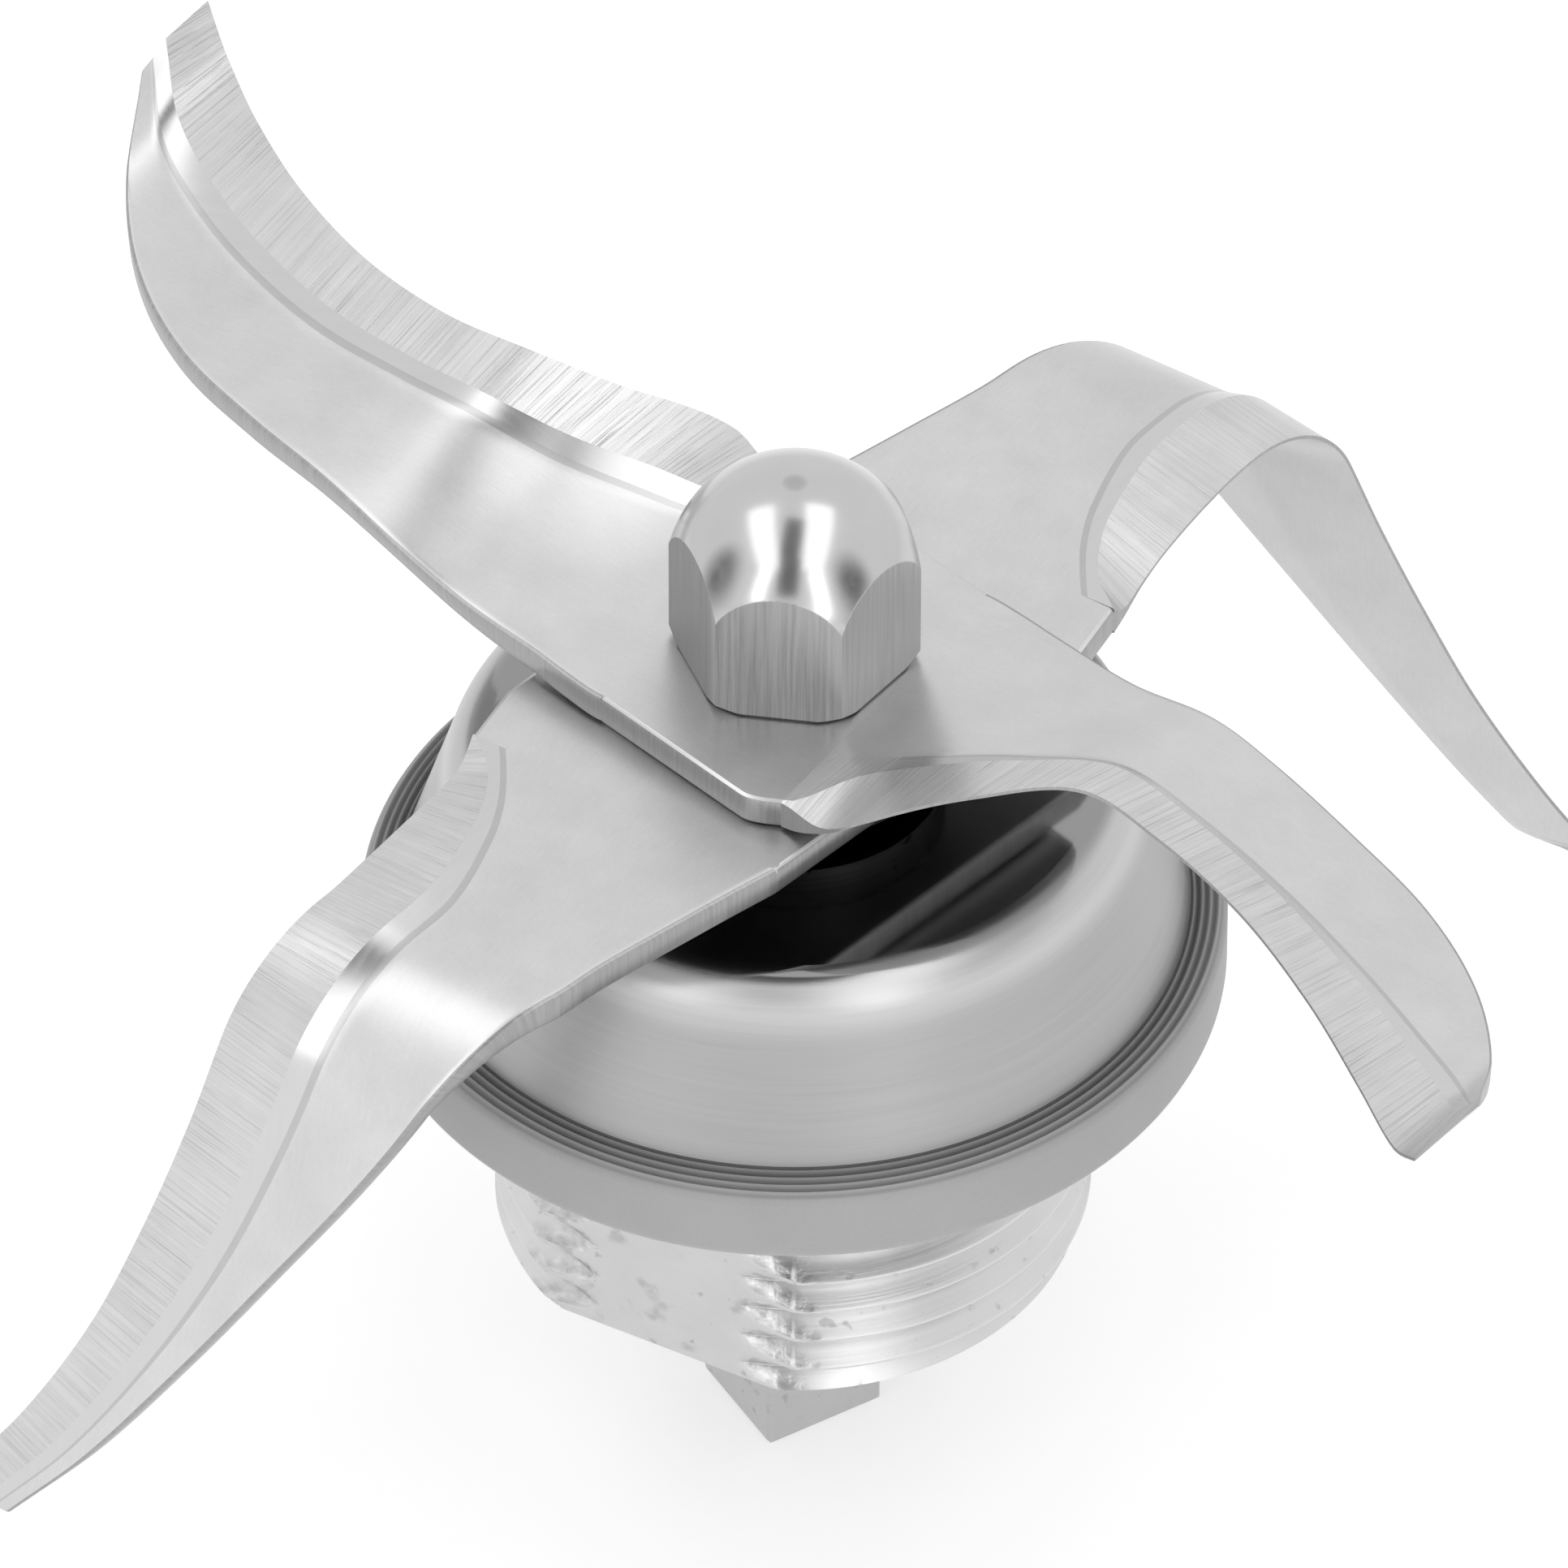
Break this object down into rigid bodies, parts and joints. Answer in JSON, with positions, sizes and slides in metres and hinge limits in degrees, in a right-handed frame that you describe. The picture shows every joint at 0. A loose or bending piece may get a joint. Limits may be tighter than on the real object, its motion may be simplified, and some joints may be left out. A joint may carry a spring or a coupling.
{
  "type": "blender blade assembly",
  "caption": "Blender blade unit with an upper and a lower crossed blade under a domed cap nut, on a bearing shaft in a steel cup with a grey sealing ring, threaded neck and square drive.",
  "frame": {"origin": "on the shaft's axis, in the plane where the sealing ring's underside rests on the jar", "axes": "+Z along the shaft, from the square drive towards the cap nut; +X to the right of the picture"},
  "size_m": [0.1002, 0.0994, 0.0751],
  "materials": {
    "blade_steel": "satin rolled sheet with ground edges",
    "cup_steel": "polished drawn sheet",
    "nut_steel": "polished dome over ground flats",
    "shaft_steel": "turned and milled",
    "neck_metal": "machined",
    "seal_rubber": "matt moulded silicone",
    "lip_rubber": "matt",
    "bearing_steel": "ground and polished",
    "cage_plastic": "moulded"
  },
  "bodies": {
    "housing": {"threaded_base": "neck_metal", "seat_cup": "cup_steel", "sealing_ring": "seal_rubber", "shaft_seal": "lip_rubber", "seal_spring": "shaft_steel", "retaining_ring": "shaft_steel", "outer_spacer": "shaft_steel", "upper_outer_race": "bearing_steel", "upper_shields": "bearing_steel", "lower_outer_race": "bearing_steel", "lower_shields": "bearing_steel"},
    "rotor": {"drive_shaft": "shaft_steel", "blade_collar": "shaft_steel", "inner_spacer": "shaft_steel", "upper_inner_race": "bearing_steel", "lower_inner_race": "bearing_steel", "lower_blade": "blade_steel", "blade_spacer": "shaft_steel", "upper_blade": "blade_steel", "cap_nut": "nut_steel"},
    "upper_ball_train": {"upper_balls": "bearing_steel", "upper_cage": "cage_plastic"},
    "lower_ball_train": {"lower_balls": "bearing_steel", "lower_cage": "cage_plastic"}
  },
  "joints": [
    {"name": "shaft_spin", "type": "hinge", "parent": "housing", "child": "rotor", "pos_m": [0, 0, 0], "axis": [0, 0, 1], "continuous": true},
    {"name": "upper_ball_orbit", "type": "hinge", "parent": "housing", "child": "upper_ball_train", "pos_m": [0, 0, 0.0015], "axis": [0, 0, 1], "continuous": true},
    {"name": "lower_ball_orbit", "type": "hinge", "parent": "housing", "child": "lower_ball_train", "pos_m": [0, 0, -0.0115], "axis": [0, 0, 1], "continuous": true}
  ],
  "couplings": [
    {"joint": "upper_ball_orbit", "follows": "shaft_spin", "ratio": 0.368},
    {"joint": "lower_ball_orbit", "follows": "shaft_spin", "ratio": 0.368}
  ]
}
